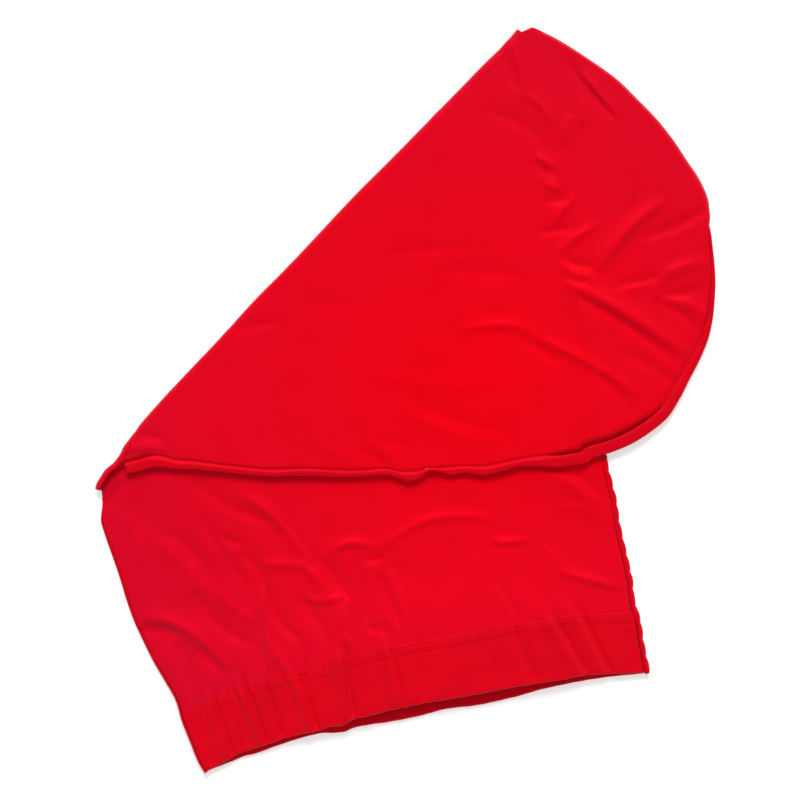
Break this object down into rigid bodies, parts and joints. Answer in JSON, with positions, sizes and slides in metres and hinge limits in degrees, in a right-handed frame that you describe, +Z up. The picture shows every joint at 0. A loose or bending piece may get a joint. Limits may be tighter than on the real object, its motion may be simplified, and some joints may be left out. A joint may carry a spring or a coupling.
{
  "type": "kayak spray skirt",
  "caption": "Red fabric kayak spray skirt, laid flat and folded over, with an elastic waistband and an elastic rand.",
  "frame": {"origin": "middle of the waist hem, on the surface that the skirt lies on", "axes": "+X along the waist hem, +Y from the waist towards the deck end, +Z up off the surface"},
  "size_m": [0.5623, 0.5522, 0.0181],
  "materials": {
    "shell_fabric": "satin",
    "binding_fabric": "satin",
    "elastic_webbing": "matte",
    "sewing_thread": "matte"
  },
  "bodies": {
    "root": {"front_panel": "shell_fabric", "back_panel": "shell_fabric", "waistband_front": "binding_fabric", "waistband_back": "binding_fabric", "waist_elastic_front": "elastic_webbing", "waist_elastic_back": "elastic_webbing", "rand_casing": "binding_fabric", "rand_elastic": "elastic_webbing", "side_seam_left": "binding_fabric", "side_seam_right": "binding_fabric"}
  },
  "joints": []
}
